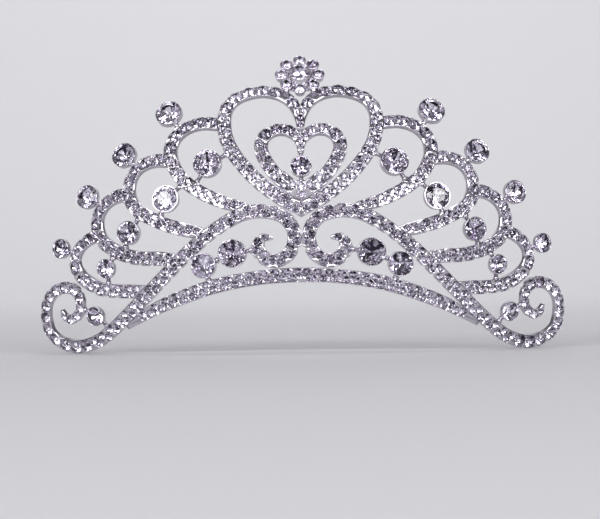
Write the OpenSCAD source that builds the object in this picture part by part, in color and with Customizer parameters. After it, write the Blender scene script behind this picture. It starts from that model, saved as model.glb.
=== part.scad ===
// Tiara: a heart between two scrolls and eight loops, all of stone-set strip, with round stones
// in cups on short stems, a flower on top and two small loops at the back for hair pins.
// X runs across, Z up, and the front faces -Y. The origin is under the middle of the base band,
// on its back face, where the tiara rests on the head.
// Strips and stones follow a dome: it bends round the head and leans back towards the top.

/* [Overall] */
// width across the two end curls, between the middles of their strips, in mm
crown_width = 116; // [114:1:140]
// height from the lowest strip's middle to the middle of the flower, in mm
crown_height = 59; // [57:0.5:71]
// radius of the bend round the head, in mm
bend_radius = 100; // [90:1:130]
// radius of the lean from bottom to top, in mm
dome_radius = 63; // [60:1:80]

/* [Strips] */
// thickness of every strip, front to back, in mm
strip_thick = 1.15; // [1.15:0.05:1.5]
// bevel along the two front edges of a strip, in mm
strip_bevel = 0.18; // [0.1:0.01:0.25]
// metal left beside a stone at the edge of its strip, in mm
strip_edge = 0.12; // [0.08:0.01:0.25]
// gap that the solder fills where two pieces meet, in mm
solder_gap = 0.03; // [0.02:0.005:0.06]
// straight steps between two points of an outline
strip_cuts = 4; // [3:1:5]
// radius of the notches that scallop the outer edges between stones, in mm
notch_radius = 0.6; // [0.4:0.05:0.7]
// depth of those notches, in mm
notch_depth = 0.38; // [0.2:0.02:0.4]

/* [Small stones] */
// diameter of the small stones set in two rows, in mm
small_stone = 1.7; // [1.4:0.05:1.9]
// gap between two neighbouring small stones, in mm
small_gap = 0.12; // [0.08:0.01:0.3]
// clearance round a stone in its seat, in mm
seat_clear = 0.03; // [0.02:0.005:0.05]

/* [Cups] */
// diameter of the largest cups, in mm
cup_large = 6.4; // [6:0.1:7.7]
// diameter of the medium cups, in mm
cup_medium = 5.7; // [5.3:0.1:5.8]
// diameter of the small cups, in mm
cup_small = 4.5; // [4.2:0.1:4.8]
// wall of a cup at its rim, in mm
cup_wall = 0.2; // [0.15:0.01:0.3]
// height of the widest line of a cup's stone above the back of the strips, in mm
cup_lift = 2.1; // [1.9:0.05:2.5]
// radius of the stems that hold the cups, in mm
stem_radius = 0.5; // [0.4:0.05:0.6]

/* [Flower] */
// number of petals
petals = 8; // [8]
// diameter of a petal's cup, in mm
petal_cup = 3; // [2.6:0.1:3.1]
// distance from the middle of the flower to the middle of a petal, in mm
petal_ring = 4.15; // [4.1:0.05:4.5]
// diameter of the cup in the middle of the flower, in mm
flower_cup = 4.9; // [4.4:0.1:5]
// thickness of the plate behind the flower, in mm
flower_plate = 0.5; // [0.4:0.1:0.8]

/* [Pin loops] */
// radius of the hole that a hair pin goes through, in mm
loop_hole = 1.2; // [1:0.1:1.6]
// wall of the loop, in mm
loop_wall = 0.5; // [0.4:0.1:0.7]
// width of the loop along its hole, in mm
loop_width = 0.9; // [0.7:0.1:1.2]

/* [Hidden] */
$fn = 48;
silver = [0.8, 0.81, 0.83];
crystal = [0.9, 0.92, 0.98];
// height at which the front faces straight forward
fullest = 6.6;
// the depth below its widest line of a stone in a strip and of one in a cup, a stone's height above
// that line, half the line's thickness and the rise of its cone, all as shares of its diameter
depth = 0.33;
cup_depth = 0.42;
rise = 0.19;
girdle = 0.02;
cone = 0.8;
// metal beside the single stones of the outer heart: they reach over its edges
heart_edge = -0.04;
// height of the stems' axes above the back of the strips
stem_height = strip_thick / 2;

// Outlines, from the middle outwards. Each point is x, z, width of the strip, rows of stones.
base_line = [
    [0, 1.65, 3.3, 2], [10, 1.05, 3.2, 2], [20, -0.85, 3.3, 2], [30, -4.4, 3.1, 2],
    [35, -6.9, 2.5, 2], [36.5, -7.9, 2, 1], [38.9, -9.5, 1.2, 1]];
scroll_line = [
    [6.3, 9.8, 0.8, 1], [8.7, 9.7, 2.2, 1], [9.6, 7.7, 3, 2], [8.5, 5.6, 3.1, 2],
    [5.9, 4.65, 3.1, 2], [3, 6.1, 3.1, 2], [1.58, 9.1, 3.1, 2], [2.1, 12.1, 3.1, 2],
    [4.2, 14.5, 3.1, 2], [8, 15.6, 3.1, 2], [11.6, 15.4, 3.1, 2], [14.8, 14.3, 3.1, 2],
    [19.8, 11.2, 3, 2], [24.8, 7.1, 3.1, 2], [30, 2, 3.1, 2], [35, -3, 3.1, 2],
    [40, -8, 3.1, 2], [45, -12.2, 3.1, 2], [50, -13.9, 3.1, 1], [54.2, -13.3, 3, 1],
    [57.1, -10.9, 2.9, 1], [58, -7.4, 2.8, 1], [57.7, -4.2, 2.6, 1], [56.1, -1.8, 2.6, 1],
    [53.5, -0.7, 2.7, 1], [51, -1.3, 2.6, 1], [49.8, -3.6, 2.3, 1], [50.1, -6.3, 2.2, 1],
    [51.8, -7.8, 2.2, 1], [53.4, -7.3, 1.7, 1], [54.2, -5.7, 0.6, 1]];
outer_heart_line = [
    [0, 33.5, 1.4, 1], [0.4, 36.6, 2, 1], [1.7, 39.6, 2.6, 1], [4.4, 41.6, 2.8, 1],
    [8.1, 42.4, 2.8, 1], [12, 41.8, 2.8, 1], [15, 40.3, 2.9, 1], [16.6, 37.9, 3, 1],
    [16.9, 35, 3.1, 2], [16.5, 32.1, 3.2, 2], [15.1, 28.9, 3.2, 2], [12.6, 25.5, 3.2, 2],
    [9.1, 21.9, 3.2, 2], [4.4, 18.4, 3.2, 2], [0, 16.1, 3.2, 2], [-1.2, 15.4, 3.2, 2]];
inner_heart_line = [
    [0, 28.6, 1.4, 1], [0.2, 30.6, 1.8, 1], [1.1, 32.3, 2.4, 1], [3.3, 33.6, 2.7, 1],
    [6.2, 33.4, 2.8, 1], [8.3, 31.7, 3, 1], [8.7, 29.3, 3.1, 2], [7.9, 27, 3.1, 2],
    [6.6, 24.9, 3.1, 2], [4.6, 22.6, 3.1, 2], [2.4, 20.9, 3.1, 2], [0, 19.7, 3.1, 2],
    [-1.2, 19.1, 3.1, 2]];
web_line = [
    [-4.4, 23.6, 2, 1], [-2.2, 21.9, 2, 1], [0, 21, 2, 1], [2.2, 21.9, 2, 1], [4.4, 23.6, 2, 1]];
loop_lines = [
    [[16.9, 34.9, 2.9, 1], [19, 35.2, 2.9, 1], [21.6, 35.4, 3, 1], [24.4, 34.8, 3, 1],
     [27, 33.3, 3.1, 1], [28.6, 31, 3.1, 1], [28.9, 28.6, 3.1, 1], [28.2, 26, 3.1, 2],
     [26.3, 23, 3.1, 2], [22.4, 20.1, 3, 2], [17.4, 17.8, 2.9, 2], [13.7, 16.8, 2.4, 1],
     [10.5, 15.8, 1.4, 1]],
    [[29.2, 27.1, 3, 1], [32.4, 27.2, 3, 1], [35, 26.4, 2.9, 1], [37, 24.7, 2.8, 1],
     [38.1, 22.3, 2.9, 1], [38.3, 20, 3, 1], [37.5, 17.7, 3.1, 2], [36, 16, 3.1, 2],
     [33.4, 14.5, 3.1, 2], [29.8, 12.9, 3.1, 2], [25.6, 11.7, 3, 2], [20.7, 10.7, 2.4, 2]],
    [[38.3, 19.7, 3, 1], [40.3, 19.6, 3, 1], [42.5, 18.7, 2.8, 1], [44.3, 17.1, 2.8, 1],
     [45.4, 14.9, 2.9, 1], [45.5, 12.4, 3, 1], [44.6, 9.9, 3.1, 2], [42.5, 8.1, 3.2, 2],
     [39.4, 6.5, 3.2, 2], [35.5, 5.6, 3.2, 2], [31.3, 5.5, 3.2, 2], [27.3, 5, 2.8, 2]],
    [[44.9, 10.9, 2.7, 1], [47.3, 10.1, 2.7, 1], [49.3, 8.6, 2.6, 1], [50.5, 6.7, 2.6, 1],
     [50.8, 4.6, 2.8, 1], [50, 2.5, 3, 1], [48.2, 0.7, 3.1, 2], [45.2, -0.9, 3.2, 2],
     [41.5, -1.5, 3.1, 2], [37.5, -1.6, 3.1, 2], [33.6, -1.8, 2.8, 2]]];

// Cups beside the heart and the loops: x and z of the middle, diameter. The largest one outside
// moves away from its loop as it grows.
plan_cup = 6.4;
move_out = (cup_large - plan_cup) / 3;
outer_cups = [
    [29 + move_out, 37.2 + move_out, cup_large - 0.3], [38.9, 28.2, cup_medium],
    [47.2, 19.2, cup_medium - 0.3], [53.3, 8, cup_small]];
inner_cups = [
    [20.4, 26, cup_large], [29.6, 18.4, cup_large - 0.4], [37.9, 11.2, cup_medium - 0.3],
    [43, 3.5, cup_small]];
middle_cups = [[15.1, 6.5, cup_large], [21.4, 3.9, cup_medium]];
end_cup = [45.7, -6.8, cup_small];
heart_cup = [0, 25, cup_small + 0.3];
flower_at = [0, 45.1];

// which node to draw

// The middle of the plan keeps its size, so that scrolls, band and heart stay in touch there.
// What lies beyond it stretches to the overall width and height.
calm_x = 12;
calm_z = 24;
plan_half_width = 58;
plan_height = 59;
// the flower's middle above the tops of the heart's lobes, which doesn't stretch
flower_rise = 2.7;
stretch_x = (crown_width / 2 - calm_x) / (plan_half_width - calm_x);
stretch_z = (crown_height - calm_z - flower_rise) / (plan_height - calm_z - flower_rise);
function place_x(x) = sign(x) * (min(abs(x), calm_x) + max(abs(x) - calm_x, 0) * stretch_x);
function place_z(z) = min(max(z, 0), calm_z) + (max(z - calm_z, 0) + min(z, 0)) * stretch_z;

// The dome: radius at a height, a point at a height above its back face, and the way it faces.
function ring(z) = bend_radius - dome_radius + sqrt(pow(dome_radius, 2) - pow(z - fullest, 2));
function facing(x, z) =
    let (up = asin((z - fullest) / dome_radius), round = asin(x / ring(z)))
    [sin(round) * cos(up), -cos(round) * cos(up), sin(up)];
function skin(x, z, h = 0) = [x, ring(0) - sqrt(pow(ring(z), 2) - x * x), z] + h * facing(x, z);

// A smooth curve through the points of an outline.
function blend(a, b, c, d, t) =
    0.5 * (2 * b + (c - a) * t + (2 * a - 5 * b + 4 * c - d) * t * t + (3 * (b - c) + d - a) * t * t * t);
function curve(p, n = strip_cuts) =
    let (k = len(p) - 1, q = [2 * p[0] - p[1], each p, 2 * p[k] - p[k - 1]])
    [for (i = [0:k - 1], j = [0:n - 1]) blend(q[i], q[i + 1], q[i + 2], q[i + 3], j / n), p[k]];

// A track is the curve as four tables over the distance along it: x, z, width and rows. Its last
// item is the metal left beside a single stone.
function track(line, edge = strip_edge) =
    let (c = curve([for (a = line) [place_x(a[0]), place_z(a[1]), a[2], a[3]]]),
         p = [for (a = c) skin(a[0], a[1])],
         far = [for (i = 0, s = 0; i < len(c);
                     s = s + (i + 1 < len(c) ? norm(p[i + 1] - p[i]) : 0), i = i + 1) s])
    [each [for (k = [0:3]) [for (i = [0:len(c) - 1]) [far[i], c[i][k]]]], edge];
function end_of(t) = t[0][len(t[0]) - 1][0];
function broad(t, s) = lookup(s, t[2]);
function back(t, s) = skin(lookup(s, t[0]), lookup(s, t[1]));
function outward(t, s) = facing(lookup(s, t[0]), lookup(s, t[1]));
function along(t, s) =
    let (a = max(s - 0.1, 0), b = min(s + 0.1, end_of(t)), v = back(t, b) - back(t, a)) v / norm(v);
function aside(t, s) = let (v = cross(along(t, s), outward(t, s))) v / norm(v);

// The distance along a track at which it passes closest to a point, between two distances.
function closest(t, p, from = 0, to = 1000) =
    let (last = min(to, end_of(t)), n = ceil((last - from) * 4),
         d = [for (i = [0:n]) norm(back(t, from + (last - from) * i / n) - p)], m = min(d))
    from + (last - from) * [for (i = [0:n]) if (d[i] == m) i][0] / n;
// A stretch of a track round the place where it passes a point of the plan.
function around(t, x, z, reach = 5) =
    let (s = closest(t, skin(place_x(x), place_z(z)))) [t, s - reach, s + reach];

// A strip along a track, or along the stretch of it between two distances, with bevelled front
// edges. A stretch has the same steps as the whole strip.
function section(w, low, high, bevel) =
    [[-w / 2, low], [-w / 2, high - bevel], [bevel - w / 2, high],
     [w / 2 - bevel, high], [w / 2, high - bevel], [w / 2, low]];
module strip(t, from = 0, to = 1000, extra = 0, low = 0, high = strip_thick) {
    steps = [for (a = t[0]) a[0]];
    first = len([for (s = steps) if (s > 0 && s < from) s]);
    last = len(steps) - 1 - len([for (s = steps) if (s > to && s < end_of(t)) s]);
    n = last - first;
    points = [for (i = [first:last])
        let (s = steps[i], o = back(t, s), a = aside(t, s), f = outward(t, s))
        each [for (c = section(broad(t, s) + extra, low, high, strip_bevel)) o + c[0] * a + c[1] * f]];
    sides = [for (i = [0:n - 1], j = [0:5]) let (a = 6 * i + j, b = 6 * i + (j + 1) % 6)
             each [[a, b + 6, b], [a, a + 6, b + 6]]];
    caps = [for (j = [1:4]) each [[0, j, j + 1], [6 * n, 6 * n + j + 1, 6 * n + j]]];
    polyhedron(points, concat(sides, caps));
}
// What a neighbour takes out of a strip that ends on it, solder gap included.
module cutter(stretch) {
    strip(stretch[0], stretch[1], stretch[2], extra = 2 * solder_gap, low = -1, high = strip_thick + 1);
}

// Stones along a track. Each is its middle on the back face, the way it faces, its diameter, its
// distance along the track and its side. A stone of a double row lies on side -0.5 or 0.5.
function single(t, s) = lookup(s, t[3]) < 1.5;
function size_at(t, s) = single(t, s) ? broad(t, s) - 2 * t[4] : small_stone;
function swing(t, s) = single(t, s) ? 0 : max(0, broad(t, s) - small_stone - 2 * strip_edge);
function stone_at(t, s, side) =
    [back(t, s) + side * swing(t, s) * aside(t, s), outward(t, s), size_at(t, s), s, side];
// how far a stone stays clear of a stretch of a neighbour, and whether it is clear of other stones,
// of the neighbours' stretches and, on a half, of its mirror image
function room(g, stretch) =
    min([for (s = [max(stretch[1], 0):0.5:min(stretch[2], end_of(stretch[0]))])
         norm(g[0] - back(stretch[0], s)) - broad(stretch[0], s) / 2]) - g[2] / 2;
function clear(g, list, stretches, half) =
    (!half || g[0][0] > (g[2] + small_gap) / 2)
    && min([1, each [for (o = list) norm(g[0] - o[0]) - (g[2] + o[2]) / 2 - small_gap]]) > -0.01
    && min([1, each [for (j = stretches) room(g, j)]]) > 0.02;
// the first distance from s on at which a stone is clear, or the distance to
function next_clear(t, s, to, side, list, stretches, half) =
    s + 0.04 * len([for (u = s; u < to && !clear(stone_at(t, u, side), list, stretches, half);
                         u = u + 0.04) u]);
// every stone from s to the distance to, each as close to those before it as it can lie
function stones(t, s, to, stretches = [], others = [], half = false, kept = []) =
    let (list = [each others, for (i = max(0, len(kept) - 4); i < len(kept); i = i + 1) kept[i]],
         a = next_clear(t, s, to, -0.5, list, stretches, half),
         b = single(t, a) ? a : next_clear(t, s, a, 0.5, list, stretches, half),
         u = min(a, b))
    u >= to ? kept
    : stones(t, u, to, stretches, others, half, [each kept, stone_at(t, u, b < a ? 0.5 : -0.5)]);

module face_out(p, f, h = 0) { translate(p + h * f) rotate([0, acos(f[2]), atan2(f[1], f[0])]) children(); }
// the radius of the small flat at the bottom of a stone
function flat(d, deep) = max(0.1, d * (0.5 - (deep - girdle) / cone));
module stone(d, deep = depth) {
    rotate_extrude() polygon([[0, -deep * d], [flat(d, deep), -deep * d], [d / 2, -girdle * d],
        [d / 2, girdle * d], [0.28 * d, rise * d], [0, rise * d]]);
}
module seat(d, deep = depth) {
    rotate_extrude() polygon([[0, -deep * d - seat_clear], [flat(d, deep) + 0.05, -deep * d - seat_clear],
        [d / 2 + seat_clear, -girdle * d], [d / 2 + seat_clear, d], [0, d]]);
}
module stones_in(list) color(crystal) for (g = list) face_out(g[0], g[1], strip_thick) stone(g[2]);
module seats_for(list) for (g = list) face_out(g[0], g[1], strip_thick) seat(g[2]);

// Notches that scallop one edge of a strip: between single stones, and opposite the far stones of
// a double row. None falls where something touches the strip, or breaks into a seat.
function notches(t, list, side, stretches = [], fillers = []) =
    [for (i = 0; i < len(list) - 1; i = i + 1)
        let (g = list[i], one = single(t, g[3]), s = one ? (g[3] + list[i + 1][3]) / 2 : g[3],
             p = back(t, s) + side * (broad(t, s) / 2 + notch_radius - notch_depth) * aside(t, s))
        if ((one ? list[i + 1][3] - g[3] < 1.3 * g[2] : g[4] * side < 0)
            && min([9, each [for (q = touches) norm(p - q)]]) > 1.9
            && min([for (o = [each list, each fillers]) norm(p - o[0]) - o[2] / 2])
               > notch_radius + 3 * seat_clear
            && min([9, each [for (j = stretches) room([p, 0, 2 * notch_radius], j)]]) > 0.4)
        [p, outward(t, s)]];
module notch_cuts(list)
    for (q = list) face_out(q[0], q[1], -1) cylinder(h = strip_thick + 2, r = notch_radius, $fn = 24);

// A cup: straight wall, tapered bottom and a seat for its stone. Its stone's widest line is at 0.
function stone_in(cup) = cup - 2 * cup_wall;
module cup_shape(d) {
    g = stone_in(d);
    floor_z = -cup_depth * g - 0.3;
    rotate_extrude() polygon([[0, floor_z], [0.31 * d, floor_z], [d / 2, -0.2 * d], [d / 2, 0.12],
        [g / 2 + seat_clear, 0.12], [g / 2 + seat_clear, -girdle * g],
        [0.15, -cup_depth * g - seat_clear], [0, -cup_depth * g - seat_clear]]);
}
// A stem from the middle of a cup towards a point; it starts in the cup's wall.
module stem(c, to) {
    from = skin(place_x(c[0]), place_z(c[1]), stem_height);
    v = to - from;
    begin = 0.36 * c[2];
    translate(from + begin * v / norm(v)) rotate([0, acos(v[2] / norm(v)), atan2(v[1], v[0])])
        cylinder(h = norm(v) - begin, r = stem_radius);
}
// Where a stem from a cup ends on the wall of a stretch of strip.
function landing(c, stretch) =
    let (o = skin(place_x(c[0]), place_z(c[1])), t = stretch[0],
         s = closest(t, o, max(stretch[1], 0), stretch[2]), a = aside(t, s),
         side = (o - back(t, s)) * a > 0 ? 1 : -1)
    back(t, s) + side * (broad(t, s) / 2 + solder_gap) * a + stem_height * outward(t, s);
module cup(c, stretches) {
    x = place_x(c[0]);
    z = place_z(c[1]);
    color(silver) union() {
        face_out(skin(x, z), facing(x, z), cup_lift) cup_shape(c[2]);
        for (j = stretches) stem(c, landing(c, j));
    }
}
module cup_stones(list) color(crystal)
    for (c = list) let (x = place_x(c[0]), z = place_z(c[1]))
        face_out(skin(x, z), facing(x, z), cup_lift) stone(stone_in(c[2]), cup_depth);
module left() mirror([1, 0, 0]) children();
module both() { children(); mirror([1, 0, 0]) children(); }
// what lies on the right of the middle
module half() difference() {
    children();
    translate([-20, -50, -50]) cube([20, 100, 150]);
}

// Tracks, and the stones on them.
base = track([for (i = [-6:6]) let (p = base_line[abs(i)]) [sign(i) * p[0], p[1], p[2], p[3]]]);
scroll = track(scroll_line);
outer_heart_track = track(outer_heart_line, heart_edge);
inner_heart_track = track(inner_heart_line);
web = track(web_line);
loops = [for (l = loop_lines) track(l)];

// Where each strip ends on or lies against its neighbours.
spiral_foot = around(scroll, 5.9, 4.65, 5);
spiral_top = around(scroll, 4.2, 14.5, 5);
band_end = around(scroll, 37, -5.5, 9);
heart_tip = around(outer_heart_track, 0, 16.1, 8);
heart_cusp = around(outer_heart_track, 0, 33.5, 4);
heart_flank = around(outer_heart_track, 8, 21, 10);
loop_joints = [
    [around(outer_heart_track, 16.9, 35), around(scroll, 13, 15, 8)],
    [around(loops[0], 28.8, 27.2), around(scroll, 21.5, 10, 6)],
    [around(loops[1], 38.2, 19.7), around(scroll, 28, 4, 6)],
    [around(loops[2], 45, 10.9), around(scroll, 34, -2, 6), around(scroll, 51, -1.3, 4)]];

// What each cup's stems end on.
outer_joints = [for (k = [0:3]) [[loops[k], 0, 1000]]];
inner_joints = [for (k = [0:3]) let (c = inner_cups[k])
    [k == 0 ? around(outer_heart_track, 14.5, 28, 6) : around(loops[k - 1], c[0] - 2.5, c[1] + 5, 6),
     around(loops[k], c[0] + 3, c[1] - 4.5, 6)]];
middle_joints = [
    [around(scroll, 9.6, 7.7, 3)],
    [around(scroll, 24, 8, 5), [base, 0.5 * end_of(base), 1000]]];
end_joints = [around(scroll, 50, -6.3, 3), around(scroll, 44, -11.5, 5)];
function cup_middle(c) = skin(place_x(c[0]), place_z(c[1]), stem_height);
cup_landing = let (a = cup_middle(middle_cups[0]), b = cup_middle(middle_cups[1]))
              b - (middle_cups[1][2] / 2 + solder_gap) * (b - a) / norm(b - a);
cusp_landing = back(inner_heart_track, 0) - [0, 0, solder_gap]
               + stem_height * outward(inner_heart_track, 0);

// Where something touches the edge of a strip, on the back face.
touches = [
    each [for (t = loops) each [back(t, 0.5), back(t, 1.5)]],
    each [for (k = [0:3]) each [for (j = outer_joints[k]) landing(outer_cups[k], j)]],
    each [for (k = [0:3]) each [for (j = inner_joints[k]) landing(inner_cups[k], j)]],
    each [for (k = [0, 1]) each [for (j = middle_joints[k]) landing(middle_cups[k], j)]],
    each [for (j = end_joints) landing(end_cup, j)],
    each [for (q = [[0, 9.1], [1, 15], [2.5, 16], [4, 16.8], [0, 14.5]]) skin(q[0], q[1])]];
// past this distance the scroll's other edge is the outer one
scroll_turn = closest(scroll, skin(place_x(14.8), place_z(14.3)));

// The flower stands on the fronts of the heart's two lobes.
flower_z = place_z(flower_at[1] - flower_rise) + flower_rise;
flower_face = facing(0, flower_z);
flower_side = [1, 0, 0];
flower_up = cross(flower_face, flower_side);
lobe = let (s = closest(outer_heart_track, skin(0.7 * petal_ring, flower_z - 0.6 * petal_ring), 0, 20))
       back(outer_heart_track, s) + strip_thick * outward(outer_heart_track, s);
flower_lift = (lobe - skin(0, flower_z)) * flower_face + solder_gap;
petal_lift = flower_lift + cup_depth * stone_in(petal_cup) + 0.3;
petal_foot = 0.78 * petal_cup;
middle_lift = flower_lift + cup_depth * stone_in(flower_cup) + 0.3;
petal_spots = [for (i = [0:petals - 1])
    let (a = 360 * (i + 0.5) / petals - 90 - 180 / petals, v = cos(a) * flower_side + sin(a) * flower_up)
    [skin(0, flower_z) + petal_ring * v, flower_face, petal_foot]];

base_middle = end_of(base) / 2;
function middle_stone(z, d) = [skin(0, place_z(z)), facing(0, place_z(z)), d];
function side_stone(x, z, d) =
    let (u = place_x(x), v = place_z(z)) [skin(u, v), facing(u, v), d];
function flipped(g) = [[-g[0][0], g[0][1], g[0][2]], [-g[1][0], g[1][1], g[1][2]], g[2]];
function with_mirror(list) = [each list, each [for (g = list) flipped(g)]];
band_half = stones(base, base_middle, end_of(base) - 1, [spiral_foot, band_end], half = true);
band_stones = with_mirror(band_half);
scroll_stones = stones(scroll, 1.7, end_of(scroll) - 1.2, [heart_tip]);
// stones by hand, where the two halves of a heart meet
outer_fillers = [middle_stone(34.5, 1.2), middle_stone(36.1, 1.6), middle_stone(17.05, 1),
                 each with_mirror([side_stone(0.85, 37.75, 1.45)])];
inner_fillers = [middle_stone(29.6, 1.2), middle_stone(31.2, 1.5), middle_stone(20.95, 1.7),
                 middle_stone(19.2, 1.6), each with_mirror([side_stone(1.15, 32.3, 1.1)])];
outer_heart_half = stones(outer_heart_track, 2, end_of(outer_heart_track), [],
                          [each petal_spots, each outer_fillers], true);
inner_heart_half = stones(inner_heart_track, 2, end_of(inner_heart_track),
                          [heart_cusp, heart_flank], inner_fillers, true);
web_half = stones(web, end_of(web) / 2, end_of(web) - 0.3, [],
                  [each inner_heart_half, each inner_fillers], true);
// stones by hand, where a loop narrows to its end
loop_fillers = [[side_stone(14.53, 17.28, 1.45), side_stone(13.15, 17.21, 1.05)],
                [side_stone(23.16, 11.52, 1.4)],
                [side_stone(29.29, 5.97, 1.2), side_stone(30.45, 4.69, 1)],
                [side_stone(37.73, -2.31, 1)]];
loop_stones = [for (k = [0:3]) stones(loops[k], 0, end_of(loops[k]) - 0.5, loop_joints[k],
                                      loop_fillers[k])];

module base_band() color(silver) difference() {
    strip(base);
    seats_for(band_stones);
    both() cutter(spiral_foot);
    both() cutter(band_end);
}
module scroll_strip() color(silver) difference() {
    strip(scroll);
    seats_for(scroll_stones);
    notch_cuts(notches(scroll, [for (g = scroll_stones) if (g[3] < scroll_turn) g], -1,
                       [heart_tip, [base, 0, 1000], [loops[0], 0, 1000]]));
    notch_cuts(notches(scroll, [for (g = scroll_stones) if (g[3] >= scroll_turn) g], 1,
                       [[base, 0, 1000]]));
    cutter(heart_tip);
}
module left_scroll() left() scroll_strip();
module right_scroll() scroll_strip();
module outer_heart() color(silver) difference() {
    both() half() strip(outer_heart_track);
    both() seats_for(outer_heart_half);
    seats_for(outer_fillers);
    both() notch_cuts(notches(outer_heart_track, outer_heart_half, -1, [], outer_fillers));
}
module inner_heart() color(silver) difference() {
    union() {
        both() half() strip(inner_heart_track);
        strip(web);
    }
    both() cutter(heart_cusp);
    both() cutter(heart_flank);
    both() seats_for(inner_heart_half);
    both() notch_cuts(notches(inner_heart_track, inner_heart_half, -1, [heart_flank, heart_cusp],
                              inner_fillers));
    seats_for(with_mirror(web_half));
    seats_for(inner_fillers);
}
module loop(k) color(silver) difference() {
    strip(loops[k]);
    seats_for(loop_stones[k]);
    seats_for(loop_fillers[k]);
    notch_cuts(notches(loops[k], loop_stones[k], -1, loop_joints[k], loop_fillers[k]));
    for (j = loop_joints[k]) cutter(j);
}

module outer_cup(k) cup(outer_cups[k], outer_joints[k]);
module inner_cup(k) cup(inner_cups[k], inner_joints[k]);
module middle_cup(k) {
    cup(middle_cups[k], middle_joints[k]);
    if (k == 0) color(silver) stem(middle_cups[0], cup_landing);
}
module end_cup_shape() cup(end_cup, end_joints);
module heart_cup_shape() {
    cup(heart_cup, [[web, end_of(web) / 2 - 0.1, end_of(web) / 2 + 0.1]]);
    color(silver) stem(heart_cup, cusp_landing);
}
module flower_frame() color(silver) {
    difference() {
        union() {
            face_out(skin(0, flower_z), flower_face, flower_lift) {
                cylinder(h = flower_plate, r = petal_ring);
                cylinder(h = middle_lift - flower_lift + 0.1, r = flower_cup / 2);
            }
            for (p = petal_spots) face_out(p[0], p[1], flower_lift)
                cylinder(h = petal_lift - flower_lift + 0.1, r1 = petal_foot / 2, r2 = petal_cup / 2);
        }
        face_out(skin(0, flower_z), flower_face, middle_lift) seat(stone_in(flower_cup), cup_depth);
        for (p = petal_spots) face_out(p[0], p[1], petal_lift) seat(stone_in(petal_cup), cup_depth);
    }
}
module flower_stone() color(crystal)
    face_out(skin(0, flower_z), flower_face, middle_lift) stone(stone_in(flower_cup), cup_depth);
module petal_stones() color(crystal)
    for (p = petal_spots) face_out(p[0], p[1], petal_lift) stone(stone_in(petal_cup), cup_depth);

// A small loop behind the end curl; its hole runs across the strip.
pin_spot = closest(scroll, skin(place_x(50), place_z(-13.9)));
module pin_loop() color(silver) {
    v = aside(scroll, pin_spot);
    c = back(scroll, pin_spot) - (loop_hole + loop_wall + solder_gap) * outward(scroll, pin_spot);
    translate(c) rotate([0, acos(v[2]), atan2(v[1], v[0])])
        rotate_extrude() translate([loop_hole, -loop_width / 2]) square([loop_wall, loop_width]);
}

module left_loop_1() left() loop(0);
module left_loop_2() left() loop(1);
module left_loop_3() left() loop(2);
module left_loop_4() left() loop(3);
module right_loop_1() loop(0);
module right_loop_2() loop(1);
module right_loop_3() loop(2);
module right_loop_4() loop(3);
module left_outer_cup_1() left() outer_cup(0);
module left_outer_cup_2() left() outer_cup(1);
module left_outer_cup_3() left() outer_cup(2);
module left_outer_cup_4() left() outer_cup(3);
module right_outer_cup_1() outer_cup(0);
module right_outer_cup_2() outer_cup(1);
module right_outer_cup_3() outer_cup(2);
module right_outer_cup_4() outer_cup(3);
module left_inner_cup_1() left() inner_cup(0);
module left_inner_cup_2() left() inner_cup(1);
module left_inner_cup_3() left() inner_cup(2);
module left_inner_cup_4() left() inner_cup(3);
module right_inner_cup_1() inner_cup(0);
module right_inner_cup_2() inner_cup(1);
module right_inner_cup_3() inner_cup(2);
module right_inner_cup_4() inner_cup(3);
module left_middle_cup_1() left() middle_cup(0);
module left_middle_cup_2() left() middle_cup(1);
module right_middle_cup_1() middle_cup(0);
module right_middle_cup_2() middle_cup(1);
module left_end_cup() left() end_cup_shape();
module right_end_cup() end_cup_shape();
module heart_center_cup() heart_cup_shape();
module left_pin_loop() left() pin_loop();
module right_pin_loop() pin_loop();
module base_band_stones() stones_in(band_stones);
module left_scroll_stones() left() stones_in(scroll_stones);
module right_scroll_stones() stones_in(scroll_stones);
module outer_heart_stones() {
    both() stones_in(outer_heart_half);
    stones_in(outer_fillers);
}
module inner_heart_stones() {
    both() stones_in(inner_heart_half);
    stones_in(with_mirror(web_half));
    stones_in(inner_fillers);
}
module left_loop_stones() left() right_loop_stones();
module right_loop_stones() for (k = [0:3]) stones_in([each loop_stones[k], each loop_fillers[k]]);
module left_outer_cup_stones() left() cup_stones(outer_cups);
module left_inner_cup_stones() left() cup_stones(inner_cups);
module left_middle_cup_stones() left() cup_stones(middle_cups);
module left_end_cup_stone() left() cup_stones([end_cup]);
module right_outer_cup_stones() cup_stones(outer_cups);
module right_inner_cup_stones() cup_stones(inner_cups);
module right_middle_cup_stones() cup_stones(middle_cups);
module right_end_cup_stone() cup_stones([end_cup]);
module heart_center_stone() cup_stones([heart_cup]);

base_band();
left_scroll();
right_scroll();
outer_heart();
inner_heart();
left_loop_1();
left_loop_2();
left_loop_3();
left_loop_4();
right_loop_1();
right_loop_2();
right_loop_3();
right_loop_4();
left_outer_cup_1();
left_outer_cup_2();
left_outer_cup_3();
left_outer_cup_4();
right_outer_cup_1();
right_outer_cup_2();
right_outer_cup_3();
right_outer_cup_4();
left_inner_cup_1();
left_inner_cup_2();
left_inner_cup_3();
left_inner_cup_4();
right_inner_cup_1();
right_inner_cup_2();
right_inner_cup_3();
right_inner_cup_4();
left_middle_cup_1();
left_middle_cup_2();
right_middle_cup_1();
right_middle_cup_2();
left_end_cup();
right_end_cup();
heart_center_cup();
flower_frame();
left_pin_loop();
right_pin_loop();
base_band_stones();
left_scroll_stones();
right_scroll_stones();
outer_heart_stones();
inner_heart_stones();
left_loop_stones();
right_loop_stones();
left_outer_cup_stones();
left_inner_cup_stones();
left_middle_cup_stones();
left_end_cup_stone();
right_outer_cup_stones();
right_inner_cup_stones();
right_middle_cup_stones();
right_end_cup_stone();
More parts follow.
